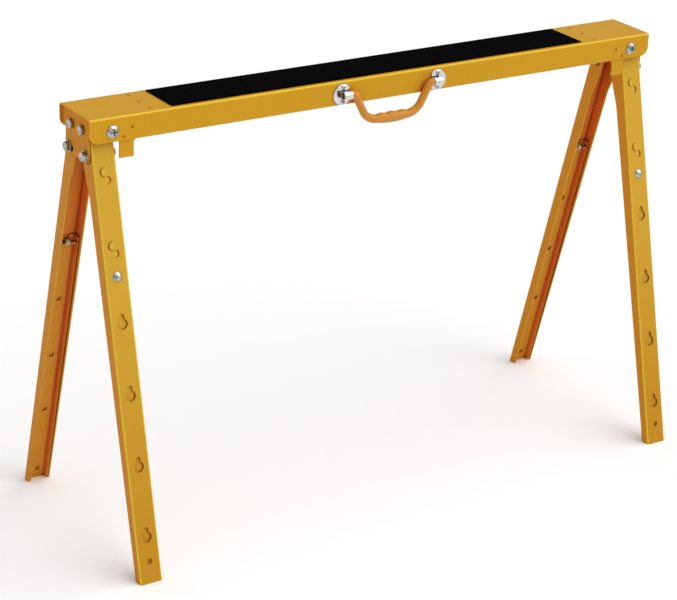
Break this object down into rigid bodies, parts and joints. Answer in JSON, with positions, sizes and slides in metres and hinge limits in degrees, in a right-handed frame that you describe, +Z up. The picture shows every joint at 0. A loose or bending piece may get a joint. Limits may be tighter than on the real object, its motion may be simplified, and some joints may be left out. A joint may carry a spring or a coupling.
{
  "type": "builders trestle",
  "caption": "Folding steel trestle: channel crossbeam with grip pad, spreading channel legs that telescope and fold under the beam, wing-nut locks and a swinging carry handle",
  "frame": {"origin": "on the floor under the middle of the crossbeam", "axes": "+X along the crossbeam to the right as the picture shows it, +Y from the handle side to the rear, +Z up"},
  "size_m": [1.006, 0.381, 0.6625],
  "materials": {
    "paint": "glossy amber enamel",
    "pad": "matt black anti-slip strip",
    "zinc": "bright zinc plate",
    "yellow_zinc": "yellow passivated zinc",
    "chrome": "bright plate",
    "handle_plastic": "moulded orange-yellow plastic"
  },
  "bodies": {
    "beam": {"crossbeam": "paint", "grip_pad": "pad", "left_stop_saddle": "paint", "right_stop_saddle": "paint", "fold_pivot_screws": "zinc", "fold_pivot_nuts": "yellow_zinc", "left_handle_bracket": "chrome", "right_handle_bracket": "chrome", "handle_screws": "chrome"},
    "handle": {"carry_handle": "handle_plastic"},
    "left_bracket": {"left_end_bracket": "paint", "left_leg_pivot_bolts": "zinc", "left_leg_pivot_nuts": "yellow_zinc"},
    "right_bracket": {"right_end_bracket": "paint", "right_leg_pivot_bolts": "zinc", "right_leg_pivot_nuts": "yellow_zinc"},
    "front_left_leg": {"front_left_upper_leg": "paint", "front_left_spread_bolt": "zinc", "front_left_spread_washer": "zinc", "front_left_spread_nut": "yellow_zinc", "front_left_lock_bolt": "zinc"},
    "front_left_lower": {"front_left_lower_leg": "paint"},
    "front_left_wing": {"front_left_wing_nut": "yellow_zinc"},
    "rear_left_leg": {"rear_left_upper_leg": "paint", "rear_left_spread_bolt": "zinc", "rear_left_spread_washer": "zinc", "rear_left_spread_nut": "yellow_zinc", "rear_left_lock_bolt": "zinc"},
    "rear_left_lower": {"rear_left_lower_leg": "paint"},
    "rear_left_wing": {"rear_left_wing_nut": "yellow_zinc"},
    "front_right_leg": {"front_right_upper_leg": "paint", "front_right_spread_bolt": "zinc", "front_right_spread_washer": "zinc", "front_right_spread_nut": "yellow_zinc", "front_right_lock_bolt": "zinc"},
    "front_right_lower": {"front_right_lower_leg": "paint"},
    "front_right_wing": {"front_right_wing_nut": "yellow_zinc"},
    "rear_right_leg": {"rear_right_upper_leg": "paint", "rear_right_spread_bolt": "zinc", "rear_right_spread_washer": "zinc", "rear_right_spread_nut": "yellow_zinc", "rear_right_lock_bolt": "zinc"},
    "rear_right_lower": {"rear_right_lower_leg": "paint"},
    "rear_right_wing": {"rear_right_wing_nut": "yellow_zinc"}
  },
  "joints": [
    {"name": "left_fold", "type": "hinge", "parent": "beam", "child": "left_bracket", "pos_m": [-0.464, 0, 0.639], "axis": [0, -1, 0], "range_deg": [0, 90]},
    {"name": "right_fold", "type": "hinge", "parent": "beam", "child": "right_bracket", "pos_m": [0.464, 0, 0.639], "axis": [0, 1, 0], "range_deg": [0, 80]},
    {"name": "front_left_spread", "type": "hinge", "parent": "left_bracket", "child": "front_left_leg", "pos_m": [-0.475, -0.0163, 0.6375], "axis": [1, 0, 0], "range_deg": [0, 14]},
    {"name": "front_left_slide", "type": "slide", "parent": "front_left_leg", "child": "front_left_lower", "axis": [0, 0.2419, 0.9703], "range_m": [-0.3815, 0]},
    {"name": "front_left_wing_turn", "type": "hinge", "parent": "front_left_leg", "child": "front_left_wing", "pos_m": [-0.475, -0.07399, 0.43546], "axis": [0, -0.9703, 0.2419], "continuous": true},
    {"name": "rear_left_spread", "type": "hinge", "parent": "left_bracket", "child": "rear_left_leg", "pos_m": [-0.475, 0.0163, 0.6375], "axis": [-1, 0, 0], "range_deg": [0, 14]},
    {"name": "rear_left_slide", "type": "slide", "parent": "rear_left_leg", "child": "rear_left_lower", "axis": [0, -0.2419, 0.9703], "range_m": [-0.3815, 0]},
    {"name": "rear_left_wing_turn", "type": "hinge", "parent": "rear_left_leg", "child": "rear_left_wing", "pos_m": [-0.475, 0.07399, 0.43546], "axis": [0, 0.9703, 0.2419], "continuous": true},
    {"name": "front_right_spread", "type": "hinge", "parent": "right_bracket", "child": "front_right_leg", "pos_m": [0.475, -0.0163, 0.6375], "axis": [1, 0, 0], "range_deg": [0, 14]},
    {"name": "front_right_slide", "type": "slide", "parent": "front_right_leg", "child": "front_right_lower", "axis": [0, 0.2419, 0.9703], "range_m": [-0.3815, 0]},
    {"name": "front_right_wing_turn", "type": "hinge", "parent": "front_right_leg", "child": "front_right_wing", "pos_m": [0.475, -0.07399, 0.43546], "axis": [0, -0.9703, 0.2419], "continuous": true},
    {"name": "rear_right_spread", "type": "hinge", "parent": "right_bracket", "child": "rear_right_leg", "pos_m": [0.475, 0.0163, 0.6375], "axis": [-1, 0, 0], "range_deg": [0, 14]},
    {"name": "rear_right_slide", "type": "slide", "parent": "rear_right_leg", "child": "rear_right_lower", "axis": [0, -0.2419, 0.9703], "range_m": [-0.3815, 0]},
    {"name": "rear_right_wing_turn", "type": "hinge", "parent": "rear_right_leg", "child": "rear_right_wing", "pos_m": [0.475, 0.07399, 0.43546], "axis": [0, 0.9703, 0.2419], "continuous": true},
    {"name": "handle_swing", "type": "hinge", "parent": "beam", "child": "handle", "pos_m": [0, -0.054, 0.64], "axis": [-1, 0, 0], "range_deg": [0, 160]}
  ],
  "couplings": [
    {"joint": "front_left_spread", "follows": "left_fold", "ratio": 0.1555},
    {"joint": "rear_left_spread", "follows": "left_fold", "ratio": 0.1555},
    {"joint": "front_right_spread", "follows": "right_fold", "ratio": 0.1749},
    {"joint": "rear_right_spread", "follows": "right_fold", "ratio": 0.1749}
  ]
}
